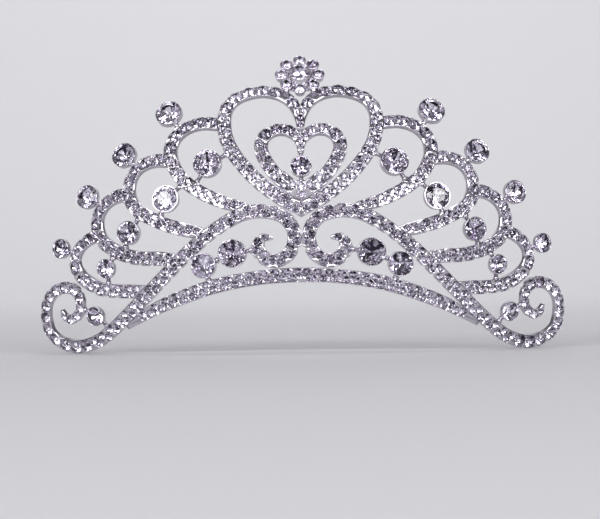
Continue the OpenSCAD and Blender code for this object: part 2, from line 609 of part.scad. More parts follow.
heart_center_stone();
flower_stone();
petal_stones();
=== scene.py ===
"""Looks of a rhinestone tiara: cut stones with a mirror foil, cast and plated strips with bead-set
grains, stone cups on stems, a flower, and a plain pale studio. Everything is in metres."""

import functools
import math
import random

import bmesh
import bpy
from bpy.props import FloatProperty, FloatVectorProperty, IntProperty, PointerProperty
from mathutils import Matrix, Vector
from mathutils.bvhtree import BVHTree


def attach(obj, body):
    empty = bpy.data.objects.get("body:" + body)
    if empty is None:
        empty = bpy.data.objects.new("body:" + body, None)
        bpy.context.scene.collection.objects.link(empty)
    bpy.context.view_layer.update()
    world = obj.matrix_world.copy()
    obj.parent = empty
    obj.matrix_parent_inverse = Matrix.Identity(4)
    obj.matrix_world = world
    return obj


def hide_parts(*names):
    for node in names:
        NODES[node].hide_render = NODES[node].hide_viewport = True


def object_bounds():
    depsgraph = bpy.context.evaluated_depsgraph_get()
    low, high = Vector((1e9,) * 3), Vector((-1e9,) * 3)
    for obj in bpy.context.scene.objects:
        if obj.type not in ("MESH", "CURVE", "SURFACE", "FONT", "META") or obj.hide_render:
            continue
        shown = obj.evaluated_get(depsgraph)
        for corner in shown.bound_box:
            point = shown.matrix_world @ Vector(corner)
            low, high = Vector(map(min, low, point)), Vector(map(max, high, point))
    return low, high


bl_info = {
    "name": "Rhinestone tiara",
    "version": (1, 0, 0),
    "blender": (4, 5, 0),
    "location": "View3D > Sidebar > Tiara",
    "description": "Builds the finish of a stone-set tiara around its frame",
    "category": "Object",
}

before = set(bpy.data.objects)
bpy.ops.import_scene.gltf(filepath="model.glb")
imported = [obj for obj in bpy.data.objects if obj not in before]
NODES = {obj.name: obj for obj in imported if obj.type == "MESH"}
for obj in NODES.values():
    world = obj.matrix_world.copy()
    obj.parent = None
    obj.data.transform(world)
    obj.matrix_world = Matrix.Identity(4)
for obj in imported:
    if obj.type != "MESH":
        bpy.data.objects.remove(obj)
CAD_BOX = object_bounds()
LOW, HIGH = CAD_BOX
MIDDLE = (LOW + HIGH) / 2
MM = 0.001

SMALL_STONES = sorted(
    n for n in NODES if n.endswith("_stones") and "cup" not in n and not n.startswith("petal")
)
CUP_STONES = sorted(n for n in NODES if "cup_stone" in n) + ["heart_center_stone"]
FLOWER_STONES = ["flower_stone", "petal_stones"]
STRIPS = sorted(
    n for n in NODES if n in ("base_band", "outer_heart", "inner_heart") or n[-6:] == "scroll"
    or n[:-1].endswith("_loop_")
)
CUPS = sorted(n for n in NODES if "cup" in n and "stone" not in n)
PIN_LOOPS = ["left_pin_loop", "right_pin_loop"]
# the radius of a cup's stem, and the number of its sides
STEM_RADIUS = 0.5 * MM
STEM_SIDES = 48


# --- Sizes and colours a user may change ---------------------------------------------------------


class StoneSettings(bpy.types.PropertyGroup):
    """How the stones are cut and coloured."""

    table_angle: FloatProperty(
        name="Crown angle", description="Slope of the main crown facets",
        default=math.radians(39), unit="ROTATION",
    )
    star_angle: FloatProperty(
        name="Star angle", description="Slope of the small facets next to the table",
        default=math.radians(21), unit="ROTATION",
    )
    girdle_angle: FloatProperty(
        name="Girdle facet angle", description="Slope of the crown facets along the widest line",
        default=math.radians(45), unit="ROTATION",
    )
    wobble: FloatProperty(
        name="Tilt", description="Most that a small stone sits out of true",
        default=math.radians(1.2), unit="ROTATION",
    )
    body: FloatVectorProperty(
        name="Crystal", description="Colour of the crystal",
        default=(0.985, 0.985, 1.0), subtype="COLOR", size=3,
    )
    foil: FloatVectorProperty(
        name="Foil", description="Colour of the mirror foil behind a stone",
        default=(0.93, 0.895, 0.98), subtype="COLOR", size=3,
    )
    violet: FloatVectorProperty(
        name="Violet foil", description="Colour of the foil where it has a violet cast",
        default=(0.50, 0.45, 0.57), subtype="COLOR", size=3,
    )
    # the darkest colour of the foil is painted dark reflection, standing in for the dark surroundings a
    # facet mirrors
    dusk: FloatVectorProperty(
        name="Dark foil", description="Colour of the foil where it is darkest",
        default=(0.045, 0.035, 0.06), subtype="COLOR", size=3,
    )
    seed: IntProperty(name="Seed", description="Start of the stones' random turns", default=7)


class MetalSettings(bpy.types.PropertyGroup):
    """The plated metal and the small parts that hold the stones."""

    plating: FloatVectorProperty(
        name="Plating", description="Colour of the silver-tone plating",
        default=(0.70, 0.665, 0.735), subtype="COLOR", size=3,
    )
    grain_width: FloatProperty(
        name="Grain width", description="Width of the metal grains that hold the small stones",
        default=0.36 * MM, unit="LENGTH",
    )
    rim_width: FloatProperty(
        name="Rim width", description="Width of the rolled rim of a cup",
        default=0.18 * MM, unit="LENGTH",
    )
    solder_width: FloatProperty(
        name="Solder width", description="Width of the solder fillet at the end of a stem",
        default=1.5 * MM, unit="LENGTH",
    )
    smooth_angle: FloatProperty(
        name="Smooth angle", description="Edges of the strips sharper than this stay sharp",
        default=math.radians(32), unit="ROTATION",
    )


class StageSettings(bpy.types.PropertyGroup):
    """Floor, backdrop, lamps and camera."""

    floor: FloatVectorProperty(
        name="Floor", description="Colour of the floor and the backdrop",
        default=(0.66, 0.66, 0.68), subtype="COLOR", size=3,
    )
    surround: FloatVectorProperty(
        name="Surround", description="Colour of the room round the stage",
        default=(0.15, 0.145, 0.16), subtype="COLOR", size=3,
    )
    distance: FloatProperty(
        name="Camera distance", description="Distance from the camera to the band",
        default=0.6, unit="LENGTH",
    )
    lens: FloatProperty(name="Lens", description="Focal length in millimetres", default=163.1)
    roll: FloatProperty(
        name="Roll", description="Turn of the camera about its view",
        default=math.radians(0.7), unit="ROTATION",
    )


# --- Materials -----------------------------------------------------------------------------------


def new_material(name):
    """An empty node material, its node tree and its output node."""
    material = bpy.data.materials.new(name)
    material.use_nodes = True
    tree = material.node_tree
    tree.nodes.clear()
    return material, tree, tree.nodes.new("ShaderNodeOutputMaterial")


# the plating's darker patches, as a share of its colour, and the height of its unevenness
SHADE = 0.86
RELIEF = 0.03 * MM


def cast_group():
    """Node group: the fine unevenness of a cast and plated surface, as colour, roughness and height."""
    group = bpy.data.node_groups.get("plated_casting")
    if group:
        return group
    group = bpy.data.node_groups.new("plated_casting", "ShaderNodeTree")
    face = group.interface
    face.new_socket("Vector", in_out="INPUT", socket_type="NodeSocketVector")
    face.new_socket("Plating", in_out="INPUT", socket_type="NodeSocketColor")
    face.new_socket("Shade", in_out="INPUT", socket_type="NodeSocketColor")
    for name, value in (("Grain size", 4000.0), ("Roughness low", 0.12), ("Roughness high", 0.3)):
        face.new_socket(name, in_out="INPUT", socket_type="NodeSocketFloat").default_value = value
    face.new_socket("Color", in_out="OUTPUT", socket_type="NodeSocketColor")
    face.new_socket("Roughness", in_out="OUTPUT", socket_type="NodeSocketFloat")
    face.new_socket("Height", in_out="OUTPUT", socket_type="NodeSocketFloat")
    nodes, links = group.nodes, group.links
    inputs = nodes.new("NodeGroupInput").outputs
    outputs = nodes.new("NodeGroupOutput").inputs
    fine = nodes.new("ShaderNodeTexNoise")
    fine.inputs["Detail"].default_value = 4.0
    links.new(inputs["Vector"], fine.inputs["Vector"])
    links.new(inputs["Grain size"], fine.inputs["Scale"])
    broad = nodes.new("ShaderNodeTexNoise")
    broad.inputs["Scale"].default_value = 420.0
    broad.inputs["Detail"].default_value = 3.0
    links.new(inputs["Vector"], broad.inputs["Vector"])
    tone = nodes.new("ShaderNodeMapRange")
    tone.inputs["From Min"].default_value = 0.35
    tone.inputs["From Max"].default_value = 0.7
    links.new(broad.outputs["Fac"], tone.inputs["Value"])
    mix = nodes.new("ShaderNodeMix")
    mix.data_type = "RGBA"
    links.new(tone.outputs["Result"], mix.inputs["Factor"])
    # inputs 6 and 7 are the two colours of a mix node, and output 2 is the mixed colour
    links.new(inputs["Plating"], mix.inputs[6])
    links.new(inputs["Shade"], mix.inputs[7])
    links.new(mix.outputs[2], outputs["Color"])
    rough = nodes.new("ShaderNodeMapRange")
    rough.inputs["From Min"].default_value = 0.3
    rough.inputs["From Max"].default_value = 0.72
    links.new(fine.outputs["Fac"], rough.inputs["Value"])
    links.new(inputs["Roughness low"], rough.inputs["To Min"])
    links.new(inputs["Roughness high"], rough.inputs["To Max"])
    links.new(rough.outputs["Result"], outputs["Roughness"])
    links.new(fine.outputs["Fac"], outputs["Height"])
    return group


def silver(name, grain, low, high, bump):
    """Silver-tone plating: grain is the casting's fineness, low and high its roughness."""
    found = bpy.data.materials.get(name)
    if found:
        return found
    settings = bpy.context.scene.tiara_metal
    material, tree, out = new_material(name)
    place = tree.nodes.new("ShaderNodeTexCoord")
    cast = tree.nodes.new("ShaderNodeGroup")
    cast.node_tree = cast_group()
    plating = Vector(settings.plating)
    cast.inputs["Plating"].default_value = (*plating, 1)
    cast.inputs["Shade"].default_value = (*(plating * SHADE), 1)
    cast.inputs["Grain size"].default_value = grain
    cast.inputs["Roughness low"].default_value = low
    cast.inputs["Roughness high"].default_value = high
    tree.links.new(place.outputs["Object"], cast.inputs["Vector"])
    shader = tree.nodes.new("ShaderNodeBsdfPrincipled")
    shader.inputs["Metallic"].default_value = 1.0
    tree.links.new(cast.outputs["Color"], shader.inputs["Base Color"])
    tree.links.new(cast.outputs["Roughness"], shader.inputs["Roughness"])
    relief = tree.nodes.new("ShaderNodeBump")
    relief.inputs["Strength"].default_value = bump
    relief.inputs["Distance"].default_value = RELIEF
    tree.links.new(cast.outputs["Height"], relief.inputs["Height"])
    tree.links.new(relief.outputs["Normal"], shader.inputs["Normal"])
    tree.links.new(shader.outputs["BSDF"], out.inputs["Surface"])
    return material


def strip_silver():
    """The cast metal of the strips, satin and finely uneven."""
    return silver("cast_strip_silver", 5200.0, 0.12, 0.30, 0.25)


def cup_silver():
    """The stamped metal of the cups and the flower, smooth and bright."""
    return silver("stamped_cup_silver", 3000.0, 0.05, 0.14, 0.06)


def grain_silver():
    """The burnished metal of the grains, the solder, the beads and the prongs."""
    return silver("burnished_grain_silver", 2600.0, 0.1, 0.24, 0.1)


def crystal():
    """Clear crystal: the crown of a stone."""
    found = bpy.data.materials.get("cut_crystal")
    if found:
        return found
    material, tree, out = new_material("cut_crystal")
    shader = tree.nodes.new("ShaderNodeBsdfPrincipled")
    shader.inputs["Base Color"].default_value = (*bpy.context.scene.tiara_stones.body, 1)
    shader.inputs["Roughness"].default_value = 0.0
    shader.inputs["IOR"].default_value = 1.58
    shader.inputs["Transmission Weight"].default_value = 1.0
    tree.links.new(shader.outputs["BSDF"], out.inputs["Surface"])
    return material


def foil():
    """Mirror foil behind a stone, with painted reflection and painted shade: a painted tone turns its
    silver violet and dark from facet to facet, darker on the facets high on a stone.
    """
    found = bpy.data.materials.get("foil_with_painted_reflection")
    if found:
        return found
    settings = bpy.context.scene.tiara_stones
    material, tree, out = new_material("foil_with_painted_reflection")
    # the facets' painted reflection and painted shade, read from the stones' attribute
    tone = tree.nodes.new("ShaderNodeAttribute")
    tone.attribute_name = PAINTED_REFLECTION_TONE
    place = tree.nodes.new("ShaderNodeTexCoord")
    streaks = tree.nodes.new("ShaderNodeTexNoise")
    streaks.inputs["Scale"].default_value = 1500.0
    streaks.inputs["Detail"].default_value = 2.0
    tree.links.new(place.outputs["Object"], streaks.inputs["Vector"])
    spread = tree.nodes.new("ShaderNodeMapRange")
    spread.inputs["From Min"].default_value = 0.3
    spread.inputs["From Max"].default_value = 0.7
    spread.inputs["To Min"].default_value = -0.16
    spread.inputs["To Max"].default_value = 0.16
    tree.links.new(streaks.outputs["Fac"], spread.inputs["Value"])
    total = tree.nodes.new("ShaderNodeMath")
    total.operation = "ADD"
    tree.links.new(tone.outputs["Fac"], total.inputs[0])
    tree.links.new(spread.outputs["Result"], total.inputs[1])
    ramp = tree.nodes.new("ShaderNodeValToRGB")
    # painted dark reflection up to a tone of 0.12, violet at 0.36 and silver from 0.62
    ramp.color_ramp.elements[0].position = 0.12
    ramp.color_ramp.elements[0].color = (*settings.dusk, 1)
    ramp.color_ramp.elements[1].position = 0.62
    ramp.color_ramp.elements[1].color = (*settings.foil, 1)
    ramp.color_ramp.elements.new(0.36).color = (*settings.violet, 1)
    tree.links.new(total.outputs["Value"], ramp.inputs["Fac"])
    shader = tree.nodes.new("ShaderNodeBsdfPrincipled")
    shader.inputs["Metallic"].default_value = 1.0
    shader.inputs["Roughness"].default_value = 0.06
    tree.links.new(ramp.outputs["Color"], shader.inputs["Base Color"])
    tree.links.new(shader.outputs["BSDF"], out.inputs["Surface"])
    return material


def floor_paint():
    """The pale paint of the floor and the backdrop, barely uneven in tone."""
    material, tree, out = new_material("pale_floor")
    place = tree.nodes.new("ShaderNodeTexCoord")
    noise = tree.nodes.new("ShaderNodeTexNoise")
    noise.inputs["Scale"].default_value = 3.0
    tree.links.new(place.outputs["Object"], noise.inputs["Vector"])
    ramp = tree.nodes.new("ShaderNodeValToRGB")
    colour = Vector(bpy.context.scene.tiara_stage.floor)
    ramp.color_ramp.elements[0].color = (*(colour * 0.985), 1)
    ramp.color_ramp.elements[1].color = (*colour, 1)
    tree.links.new(noise.outputs["Fac"], ramp.inputs["Fac"])
    shader = tree.nodes.new("ShaderNodeBsdfPrincipled")
    shader.inputs["Roughness"].default_value = 0.6
    tree.links.new(ramp.outputs["Color"], shader.inputs["Base Color"])
    tree.links.new(shader.outputs["BSDF"], out.inputs["Surface"])
    return material


# --- Mesh helpers --------------------------------------------------------------------------------


def add_piece(name, mesh, materials, replaced=()):
    """Makes a piece of a bmesh, gives it its materials, and lets it ride on the frame."""
    data = bpy.data.meshes.new(name)
    mesh.to_mesh(data)
    mesh.free()
    for material in materials:
        data.materials.append(material)
    piece = bpy.data.objects.new(name, data)
    bpy.context.scene.collection.objects.link(piece)
    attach(piece, "root")
    if replaced:
        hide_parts(*replaced)
    return piece


def cad_copy(node):
    """A bmesh of a CAD node with its loose triangles joined up."""
    mesh = bmesh.new()
    mesh.from_mesh(NODES[node].data)
    bmesh.ops.remove_doubles(mesh, verts=mesh.verts, dist=0.0005 * MM)
    return mesh


def islands(mesh):
    """The separate shapes in a bmesh, each as its list of faces."""
    mesh.faces.ensure_lookup_table()
    seen, found = set(), []
    for first in mesh.faces:
        if first.index in seen:
            continue
        seen.add(first.index)
        group, edge = [], [first]
        while edge:
            face = edge.pop()
            group.append(face)
            for vert in face.verts:
                for other in vert.link_faces:
                    if other.index not in seen:
                        seen.add(other.index)
                        edge.append(other)
        found.append(group)
    return found


def flat_patches(faces):
    """Groups of faces that share one normal, as (area, normal, area-weighted middle)."""
    patches = {}
    for face in faces:
        key = tuple(round(v, 2) for v in face.normal)
        area = face.calc_area()
        total, normal, middle = patches.get(key, (0.0, Vector(), Vector()))
        patches[key] = (
            total + area, normal + face.normal * area, middle + face.calc_center_median() * area
        )
    return [(a, n.normalized(), m / a) for a, n, m in patches.values() if a > 0]


class Seat:
    """Where a stone sits: the middle of its widest line, the way it faces and its diameter."""

    def __init__(self, faces):
        self.axis, top = max(flat_patches(faces), key=lambda patch: patch[0])[1:]
        points = {v.index: v.co.copy() for face in faces for v in face.verts}
        reach = [
            ((p - top) - (p - top).dot(self.axis) * self.axis).length for p in points.values()
        ]
        radius = max(reach)
        heights = [
            (p - top).dot(self.axis) for p, r in zip(points.values(), reach) if r > 0.98 * radius
        ]
        self.diameter = 2 * radius
        self.middle = top + self.axis * sum(heights) / len(heights)

    def turned(self, turn=0.0, tilt=None):
        """The matrix that puts a stone of diameter 1 in this seat."""
        facing = self.axis.to_track_quat("Z", "Y").to_matrix().to_4x4()
        if tilt is not None:
            facing = facing @ tilt
        return (
            Matrix.Translation(self.middle - SINK * self.diameter * self.axis) @ facing
            @ Matrix.Rotation(turn, 4, "Z") @ Matrix.Scale(SHRINK * self.diameter, 4)
        )


@functools.cache
def seats_of(node):
    """The seats of a node's stones, from left to right."""
    mesh = cad_copy(node)
    found = [Seat(faces) for faces in islands(mesh)]
    mesh.free()
    return sorted(found, key=lambda s: (round(s.middle.x, 5), round(s.middle.z, 5)))


# --- Stones --------------------------------------------------------------------------------------

# the cut of a stone of diameter 1: half the girdle's height, the table's height, the slope of the
# lower facets, and the depth of a small stone and of a round one
GIRDLE = 0.02
TABLE_HEIGHT = 0.19
PAVILION = math.atan(0.8)
STRIP_DEPTH = 0.33
CUP_DEPTH = 0.42
# how far from the axis the star facets meet the table, and a plain cut's facets between its main
# ones meet the girdle
STAR_REACH = 0.272
PLAIN_REACH = 0.49
# the lower girdle facets are this much steeper than the main ones
LOWER_STEEPER = math.radians(1.6)
# a cut stone is this much smaller than its place, and lies this much lower, as shares of its width
SHRINK = 0.985
SINK = 0.01
# how light the foil is painted behind a facet, as painted reflection and painted shade: a random tone
# that stands in for the dark and bright surroundings a facet mirrors, a cast for the whole stone, and
# painted shade that makes a facet darker the higher it lies on the stone
PAINTED_REFLECTION_TONE = "painted_reflection_tone"
PAINTED_REFLECTION_SHAPE = (1.2, 0.75)
STONE_CAST = (-0.06, 0.16)
PAINTED_SHADE_DROP = 1.15


def facet(mesh, angle, azimuth, reach, height):
    """Cuts one facet: a plane with that slope, through the point at that reach and height."""
    around = Vector((math.cos(azimuth), math.sin(azimuth), 0))
    up = 1 if height >= 0 else -1
    normal = around * math.sin(angle) + Vector((0, 0, up * math.cos(angle)))
    cut = bmesh.ops.bisect_plane(
        mesh, geom=mesh.verts[:] + mesh.edges[:] + mesh.faces[:], dist=1e-5,
        plane_co=around * reach + Vector((0, 0, height)), plane_no=normal, clear_outer=True,
    )
    rim = [e for e in cut["geom_cut"] if isinstance(e, bmesh.types.BMEdge)]
    if len(rim) > 2:
        bmesh.ops.contextual_create(mesh, geom=rim)


def cut_stone(full, depth):
    """A stone of diameter 1, cut facet by facet; full is the cut with star and lower facets."""
    settings = bpy.context.scene.tiara_stones
    mesh = bmesh.new()
    bmesh.ops.create_cone(
        mesh, cap_ends=True, cap_tris=False, segments=16, radius1=0.5, radius2=0.5, depth=1.0
    )
    eighth, half_step = math.tau / 8, math.tau / 32
    facet(mesh, 0.0, 0.0, 0.0, TABLE_HEIGHT)
    flat = 0.5 * math.cos(half_step)
    for i in range(8):
        facet(mesh, settings.table_angle, i * eighth, 0.5, GIRDLE)
        facet(mesh, PAVILION, i * eighth, 0.5, -GIRDLE)
    if full:
        for i in range(16):
            azimuth = (i + 0.5) * eighth / 2
            facet(mesh, settings.girdle_angle, azimuth, flat, GIRDLE)
            facet(mesh, PAVILION + LOWER_STEEPER, azimuth, flat, -GIRDLE)
        for i in range(8):
            facet(mesh, settings.star_angle, (i + 0.5) * eighth, STAR_REACH, TABLE_HEIGHT)
    else:
        for i in range(8):
            facet(mesh, settings.girdle_angle, (i + 0.5) * eighth, PLAIN_REACH, GIRDLE)
            facet(mesh, PAVILION, (i + 0.5) * eighth, 0.5, -GIRDLE)
    facet(mesh, 0.0, 0.0, 0.0, -depth)
    for face in mesh.faces:
        face.material_index = 1 if face.normal.z < -0.1 else 0
    return mesh


def stones_piece(name, nodes, full, wobble):
    """One piece with a cut stone in every seat of the nodes, which it replaces."""
    settings = bpy.context.scene.tiara_stones
    draw = random.Random(name + str(settings.seed))
    pattern = cut_stone(full, CUP_DEPTH if full else STRIP_DEPTH)
    data = bpy.data.meshes.new("stone_pattern")
    pattern.to_mesh(data)
    pattern.free()
    mesh = bmesh.new()
    tone = mesh.faces.layers.float.new(PAINTED_REFLECTION_TONE)
    for node in nodes:
        for seat in seats_of(node):
            start, first = len(mesh.verts), len(mesh.faces)
            mesh.from_mesh(data)
            mesh.verts.ensure_lookup_table()
            mesh.faces.ensure_lookup_table()
            tilt = Matrix.Rotation(
                draw.uniform(0, wobble), 4, Vector((draw.uniform(-1, 1), draw.uniform(-1, 1), 0.01))
            )
            bmesh.ops.transform(
                mesh, matrix=seat.turned(draw.uniform(0, math.tau / 8), tilt),
                verts=mesh.verts[start:],
            )
            # painted reflection and painted shade: a random tone for each facet, a cast for the stone,
            # and darker the higher the facet lies on it
            cast = draw.uniform(*STONE_CAST)
            for face in mesh.faces[first:]:
                lean = (face.calc_center_median() - seat.middle).z / seat.diameter
                face[tone] = draw.betavariate(*PAINTED_REFLECTION_SHAPE) + cast - PAINTED_SHADE_DROP * lean
    bpy.data.meshes.remove(data)
    return add_piece(name, mesh, [crystal(), foil()], nodes)


# --- Metal ---------------------------------------------------------------------------------------


def polished(node, metal):
    """A metal piece with its bends smoothed over, in place of the CAD node."""
    piece = add_piece("polished_" + node, cad_copy(node), [metal], [node])
    piece.data.shade_smooth()
    piece.data.set_sharp_from_angle(angle=bpy.context.scene.tiara_metal.smooth_angle)
    return piece


def add_blob(mesh, place, axis, width, height):
    """Adds a small round blob of metal, flattened along its axis."""
    shape = (
        Matrix.Translation(place) @ axis.to_track_quat("Z", "Y").to_matrix().to_4x4()
        @ Matrix.Diagonal((width, width, height, 1))
    )
    bmesh.ops.create_uvsphere(mesh, u_segments=8, v_segments=5, radius=0.5, matrix=shape)


# places tried round each stone for a grain
GRAIN_TRIES = 16


def grain_places(seats, skin, width):
    """Where grains stand: on the metal right beside a stone, and first where they hold two."""
    found = []
    for wanted in (2, 1):
        for seat in seats:
            facing = seat.axis.to_track_quat("Z", "Y").to_matrix()
            taken = sum((g[0] - seat.middle).length < seat.diameter / 2 + width for g in found)
            for k in range(GRAIN_TRIES):
                # up to three round a stone while they hold two, then up to four
                if taken >= 5 - wanted:
                    break
                angle = math.tau * k / GRAIN_TRIES
                reach = seat.diameter / 2 + 0.36 * width
                place = seat.middle + facing @ Vector((math.cos(angle), math.sin(angle), 0)) * reach
                # beside its stones without covering them, and near as many as it should hold
                gaps = sorted((place - o.middle).length - o.diameter / 2 for o in seats)
                if gaps[0] < 0.3 * width or gaps[wanted - 1] > 0.75 * width:
                    continue
                if any((place - g[0]).length < 1.35 * width for g in found):
                    continue
                # on metal that faces as the stone does, not over a hole or on a slope
                hit = skin.ray_cast(place + seat.axis * MM, -seat.axis, 1.12 * MM)
                if hit[0] is None or hit[1].dot(seat.axis) < 0.9:
                    continue
                found.append((hit[0], seat.axis))
                taken += 1
    return found


def grains_piece(node, stones):
    """The grains of one strip: small domes raised from its metal and pressed over the stones."""
    settings = bpy.context.scene.tiara_metal
    draw = random.Random(node)
    strip = cad_copy(node)
    skin = BVHTree.FromBMesh(strip)
    seats = [seat for stone_node in stones for seat in seats_of(stone_node)]
    near = [s for s in seats if (skin.find_nearest(s.middle)[3] or 1) < 0.6 * s.diameter]
    mesh = bmesh.new()
    for place, axis in grain_places(near, skin, settings.grain_width):
        width = settings.grain_width * draw.uniform(0.85, 1.15)
        add_blob(mesh, place, axis, width, 0.72 * width)
    strip.free()
    piece = add_piece("grains_" + node, mesh, [grain_silver()])
    piece.data.shade_smooth()
    return piece


def add_ring(mesh, place, radius, width):
    """Adds a closed round ring of that radius and width, placed by a matrix."""
    ring = bmesh.new()
    across = Matrix.Translation((radius, 0, 0)) @ Matrix.Rotation(math.pi / 2, 4, "X")
    circle = bmesh.ops.create_circle(ring, segments=8, radius=width / 2, matrix=across)["verts"]
    bmesh.ops.spin(
        ring, geom=circle + ring.edges[:], cent=(0, 0, 0), axis=(0, 0, 1), angle=math.tau, steps=40,
        use_merge=True,
    )
    bmesh.ops.recalc_face_normals(ring, faces=ring.faces)
    data = bpy.data.meshes.new("ring")
    ring.to_mesh(data)
    ring.free()
    data.transform(place)
    mesh.from_mesh(data)
    bpy.data.meshes.remove(data)


def rims_piece(name, nodes):
    """The rolled rims that hold the round stones: one ring in the cup's edge over each stone."""
    width = bpy.context.scene.tiara_metal.rim_width
    mesh = bmesh.new()
    for node in nodes:
        for seat in seats_of(node):
            place = (
                Matrix.Translation(seat.middle + 0.1 * MM * seat.axis)
                @ seat.axis.to_track_quat("Z", "Y").to_matrix().to_4x4()
            )
            add_ring(mesh, place, seat.diameter / 2 + 0.5 * width, width)
    piece = add_piece(name, mesh, [cup_silver()])
    piece.data.shade_smooth()
    return piece


def stem_ends(node):
    """Middles and directions of the flat ends of a cup's stems."""
    mesh = cad_copy(node)
    disc = STEM_SIDES / 2 * STEM_RADIUS ** 2 * math.sin(math.tau / STEM_SIDES)
    found = [
        (middle, normal) for area, normal, middle in flat_patches(mesh.faces)
        if abs(area / disc - 1) < 0.02
    ]
    mesh.free()
    return found


def outwards(point):
    """How far out and down a point lies on the right half of the band."""
    return point.x - 0.6 * point.z


def band_points():
    """Two slender prongs on each end of the band, from the last stones to the tip."""
    settings = bpy.context.scene.tiara_metal
    strip = cad_copy("base_band")
    tip = max((v.co.copy() for v in strip.verts), key=outwards)
    strip.free()
    last = max(seats_of("base_band_stones"), key=lambda seat: outwards(seat.middle))
    way = (tip - last.middle).normalized()
    across = way.cross(last.axis).normalized()
    mesh = bmesh.new()
    # the long prong and the short one, as shares of the way to the tip
    for side, reach in ((1, 0.98), (-1, 0.62)):
        start = last.middle + 0.5 * last.diameter * way + side * 0.34 * last.diameter * across
        end = start.lerp(tip, reach)
        place = (
            Matrix.Translation((start + end) / 2) @ (end - start).to_track_quat("Z", "Y")
            .to_matrix().to_4x4()
        )
        bmesh.ops.create_cone(
            mesh, cap_ends=True, segments=8, radius1=0.6 * settings.grain_width,
            radius2=0.12 * settings.grain_width, depth=(end - start).length, matrix=place,
        )
    bmesh.ops.mirror(mesh, geom=mesh.verts[:] + mesh.edges[:] + mesh.faces[:], axis="X",
                     merge_dist=0.0)
    bmesh.ops.recalc_face_normals(mesh, faces=mesh.faces)
    piece = add_piece("band_points", mesh, [grain_silver()])
    piece.data.shade_smooth()
    piece.data.set_sharp_from_angle(angle=settings.smooth_angle)
    return piece


def solder_piece(name, nodes):
    """Blobs of solder where the stems meet the strips."""
    settings = bpy.context.scene.tiara_metal
    draw = random.Random(name)
    mesh = bmesh.new()
    for node in nodes:
        for middle, normal in stem_ends(node):
            width = settings.solder_width * draw.uniform(0.85, 1.1)
            add_blob(mesh, middle - 0.1 * width * normal, normal, width, 0.62 * width)
    piece = add_piece(name, mesh, [grain_silver()])
    piece.data.shade_smooth()
    return piece


def flower_beads():
    """A bead between each two petals, where they meet the cup in the middle."""
    settings = bpy.context.scene.tiara_metal
    middle = seats_of("flower_stone")[0]
    petals = seats_of("petal_stones")
    level = middle.axis.to_track_quat("Z", "Y").to_matrix().inverted()
    arms = sorted(
        (petal.middle - middle.middle for petal in petals),
        key=lambda arm: math.atan2((level @ arm).y, (level @ arm).x),
    )
    width = 2.0 * settings.grain_width
    mesh = bmesh.new()
    for one, other in zip(arms, arms[1:] + arms[:1]):
        way = (one + other).normalized()
        reach = middle.diameter / 2 + 0.62 * MM
        place = middle.middle + way * reach - 0.45 * MM * middle.axis
        add_blob(mesh, place, middle.axis, width, width)
    piece = add_piece("flower_beads", mesh, [grain_silver()])
    piece.data.shade_smooth()
    return piece


# --- Stage ---------------------------------------------------------------------------------------


# the floor lies this far under the lowest point, so that the tiara doesn't sink into it
FLOOR_GAP = 0.01 * MM
# the camera stands left of the middle and above the underside of the band
CAMERA_LEFT = 0.45 * MM
CAMERA_HEIGHT = 4.97 * MM


def add_stage():
    """The floor, which bends up into the backdrop behind the tiara."""
    reach, back, height, bend = 3.0, 1.6, 1.6, 0.7
    mesh = bmesh.new()
    bmesh.ops.create_grid(mesh, x_segments=1, y_segments=1, size=reach)
    bmesh.ops.transform(
        mesh, matrix=Matrix.Translation((0, back - reach, LOW.z - FLOOR_GAP)), verts=mesh.verts
    )
    rear = [e for e in mesh.edges if all(abs(v.co.y - back) < 1e-4 for v in e.verts)]
    raised = bmesh.ops.extrude_edge_only(mesh, edges=rear)["geom"]
    bmesh.ops.translate(
        mesh, vec=(0, 0, height), verts=[v for v in raised if isinstance(v, bmesh.types.BMVert)]
    )
    bmesh.ops.bevel(
        mesh, geom=rear, offset=bend, offset_type="OFFSET", segments=24, profile=0.5,
        affect="EDGES", material=-1, clamp_overlap=True,
    )
    data = bpy.data.meshes.new("floor")
    bmesh.ops.recalc_face_normals(mesh, faces=mesh.faces)
    mesh.to_mesh(data)
    mesh.free()
    data.materials.append(floor_paint())
    data.shade_smooth()
    floor = bpy.data.objects.new("floor", data)
    bpy.context.scene.collection.objects.link(floor)


def add_lamp(name, place, width, height, power):
    """A softbox of that size at that place, aimed at the tiara."""
    data = bpy.data.lights.new(name, "AREA")
    data.shape = "RECTANGLE"
    data.size, data.size_y = width, height
    data.energy = power
    lamp = bpy.data.objects.new(name, data)
    bpy.context.scene.collection.objects.link(lamp)
    lamp.location = place
    lamp.rotation_euler = (MIDDLE - Vector(place)).to_track_quat("-Z", "Y").to_euler()


def add_lamps():
    """Two softboxes in front, one high, one above and one on the backdrop, and a dim room."""
    add_lamp("key_softbox", (-0.82, -1.22, 0.61), 0.60, 0.46, 9.5)
    add_lamp("fill_softbox", (0.82, -1.22, 0.61), 0.50, 0.42, 6.0)
    add_lamp("high_softbox", (0.0, -1.33, 0.785), 1.35, 0.22, 6.2)
    add_lamp("top_softbox", (0.1, 0.1, 1.3), 0.8, 0.5, 4.7)
    add_lamp("backdrop_softbox", (0.0, 0.7, 1.0), 1.2, 0.5, 8.0)
    bpy.data.objects["backdrop_softbox"].rotation_euler = (math.radians(55), 0, 0)
    world = bpy.data.worlds.new("surround")
    bpy.context.scene.world = world
    world.use_nodes = True
    world.node_tree.nodes["Background"].inputs["Color"].default_value = (
        *bpy.context.scene.tiara_stage.surround, 1
    )


